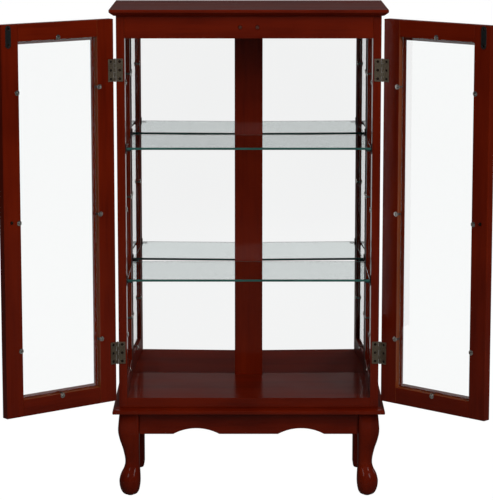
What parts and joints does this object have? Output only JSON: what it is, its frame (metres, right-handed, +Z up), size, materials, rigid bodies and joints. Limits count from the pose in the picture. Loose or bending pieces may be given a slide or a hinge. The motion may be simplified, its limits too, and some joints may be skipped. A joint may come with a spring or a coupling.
{
  "type": "curio cabinet",
  "caption": "Cherry-lacquered curio cabinet with framed glass doors and sides, mirrored back, glass shelves, arched apron and cabriole front legs.",
  "frame": {"origin": "middle of the footprint with the doors open as stored, on the floor", "axes": "+Z up, the cabinet faces -Y, +X to the right of someone who faces the doors"},
  "size_m": [1.0386, 0.476, 1.081],
  "materials": {
    "cherry_lacquer": "dark red cherry stain under a glossy clear lacquer",
    "clear_glass": "polished clear float glass",
    "shelf_glass": "clear float glass with polished green edges",
    "mirror_glass": "silvered mirror glass",
    "hardboard": "bare brown hardboard",
    "antique_brass": "brushed antique brass, slightly tarnished",
    "black_steel": "black oxide steel",
    "black_plastic": "moulded black plastic",
    "nickel": "dull nickel-plated magnet"
  },
  "bodies": {
    "case": {"crown_board": "cherry_lacquer", "base_board": "cherry_lacquer", "floor_panel": "cherry_lacquer", "top_rail": "cherry_lacquer", "back_centre_stile": "cherry_lacquer", "front_apron": "cherry_lacquer", "left_apron": "cherry_lacquer", "right_apron": "cherry_lacquer", "rear_apron": "cherry_lacquer", "left_front_stile": "cherry_lacquer", "left_rear_stile": "cherry_lacquer", "left_side_top_rail": "cherry_lacquer", "left_side_bottom_rail": "cherry_lacquer", "front_leg_left": "cherry_lacquer", "rear_leg_left": "cherry_lacquer", "right_front_stile": "cherry_lacquer", "right_rear_stile": "cherry_lacquer", "right_side_top_rail": "cherry_lacquer", "right_side_bottom_rail": "cherry_lacquer", "front_leg_right": "cherry_lacquer", "rear_leg_right": "cherry_lacquer", "left_side_glass": "clear_glass", "right_side_glass": "clear_glass", "lower_shelf": "shelf_glass", "upper_shelf": "shelf_glass", "left_mirror": "mirror_glass", "right_mirror": "mirror_glass", "back_panel": "hardboard", "lower_shelf_support_front_left": "black_plastic", "lower_shelf_support_front_right": "black_plastic", "lower_shelf_support_rear_left": "black_plastic", "lower_shelf_support_rear_right": "black_plastic", "upper_shelf_support_front_left": "black_plastic", "upper_shelf_support_front_right": "black_plastic", "upper_shelf_support_rear_left": "black_plastic", "upper_shelf_support_rear_right": "black_plastic", "catch_magnet_left": "nickel", "catch_magnet_right": "nickel", "left_lower_hinge_case_leaf": "antique_brass", "left_upper_hinge_case_leaf": "antique_brass", "right_lower_hinge_case_leaf": "antique_brass", "right_upper_hinge_case_leaf": "antique_brass"},
    "left_door": {"left_door_hinge_stile": "cherry_lacquer", "left_door_meeting_stile": "cherry_lacquer", "left_door_top_rail": "cherry_lacquer", "left_door_bottom_rail": "cherry_lacquer", "left_door_glass": "clear_glass", "left_door_knob": "antique_brass", "left_door_strike_plate": "black_steel", "left_lower_hinge_door_leaf": "antique_brass", "left_upper_hinge_door_leaf": "antique_brass"},
    "right_door": {"right_door_hinge_stile": "cherry_lacquer", "right_door_meeting_stile": "cherry_lacquer", "right_door_top_rail": "cherry_lacquer", "right_door_bottom_rail": "cherry_lacquer", "right_door_glass": "clear_glass", "right_door_knob": "antique_brass", "right_door_strike_plate": "black_steel", "right_lower_hinge_door_leaf": "antique_brass", "right_upper_hinge_door_leaf": "antique_brass"}
  },
  "joints": [
    {"name": "left_door_hinge", "type": "hinge", "parent": "case", "child": "left_door", "pos_m": [-0.28158, -0.04553, 0.64], "axis": [0, 0, -1], "range_deg": [-142, 38]},
    {"name": "right_door_hinge", "type": "hinge", "parent": "case", "child": "right_door", "pos_m": [0.29442, -0.04553, 0.64], "axis": [0, 0, 1], "range_deg": [-137.5, 42.5]}
  ]
}
